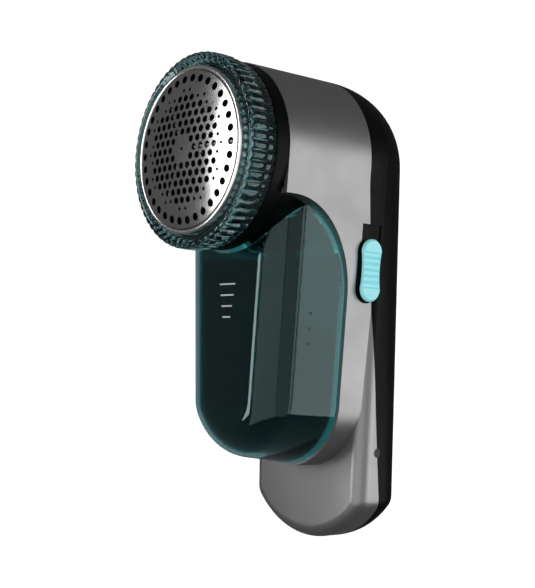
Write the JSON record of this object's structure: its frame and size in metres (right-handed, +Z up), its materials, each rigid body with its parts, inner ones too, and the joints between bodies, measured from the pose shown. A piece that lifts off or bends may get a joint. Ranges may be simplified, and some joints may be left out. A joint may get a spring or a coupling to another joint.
{
  "type": "fabric shaver",
  "caption": "Hand-held rechargeable fabric shaver: perforated foil in a ribbed ring, clear lint bin below it, silver and black casing with a side slide switch.",
  "frame": {"origin": "middle of the overall box in X and Y, on the plane that the handle's foot touches", "axes": "+Z up the handle, which is the longest extent; the shaving foil faces -Y and the flat back faces +Y"},
  "size_m": [0.0708, 0.0856, 0.1754],
  "materials": {
    "silver_casing": "satin silver paint on moulded ABS",
    "black_casing": "satin black moulded ABS",
    "screw_steel": "zinc plated",
    "teal_plastic": "tinted polycarbonate, moulded ribs",
    "polished_steel": "polished rolled edge",
    "foil_steel": "satin stainless sheet with punched holes",
    "blade_steel": "ground stainless",
    "white_plastic": "moulded acetal",
    "brass": "turned",
    "plated_steel": "nickel plated sheet",
    "magnet": "sintered ferrite and steel laminations",
    "clear_teal": "smoked teal clear polycarbonate",
    "aqua_plastic": "moulded ABS with thumb ridges",
    "board": "glass-fibre board with green resist",
    "cell_wrap": "shrink-wrapped steel cells",
    "smoked_lens": "smoked lens"
  },
  "bodies": {
    "casing": {"battery_cells": "cell_wrap", "battery_straps": "plated_steel", "charge_light": "smoked_lens", "charging_socket": "plated_steel", "circuit_board": "board", "front_shell": "silver_casing", "head_collar": "black_casing", "lint_duct": "black_casing", "motor_bush": "brass", "motor_can": "plated_steel", "motor_end_cap": "black_casing", "motor_magnets": "magnet", "motor_screws": "screw_steel", "rear_screws": "screw_steel", "rear_shell": "black_casing", "slide_switch": "plated_steel"},
    "cutter": {"blade_carrier": "black_casing", "blades": "blade_steel", "blade_spring": "screw_steel", "drive_hub": "white_plastic", "motor_shaft": "screw_steel", "motor_core": "magnet", "commutator": "brass"},
    "height_ring": {"guard_ring": "teal_plastic"},
    "foil_cap": {"foil": "foil_steel", "foil_rim": "polished_steel"},
    "bin": {"lint_bin": "clear_teal"},
    "knob": {"switch_knob": "aqua_plastic", "switch_lever": "black_casing"}
  },
  "joints": [
    {"name": "cutter_spin", "type": "hinge", "parent": "casing", "child": "cutter", "pos_m": [0, 0, 0.14], "axis": [0, 1, 0], "continuous": true},
    {"name": "ring_twist", "type": "hinge", "parent": "casing", "child": "height_ring", "pos_m": [0, 0, 0.14], "axis": [0, 1, 0], "range_deg": [0, 30]},
    {"name": "foil_lift", "type": "slide", "parent": "height_ring", "child": "foil_cap", "axis": [0, -1, 0], "range_m": [0, 0.02]},
    {"name": "bin_slide", "type": "slide", "parent": "casing", "child": "bin", "axis": [0, 0, -1], "range_m": [0, 0.045]},
    {"name": "switch_slide", "type": "slide", "parent": "casing", "child": "knob", "axis": [0.0384, 0, 0.9993], "range_m": [0, 0.004]}
  ]
}
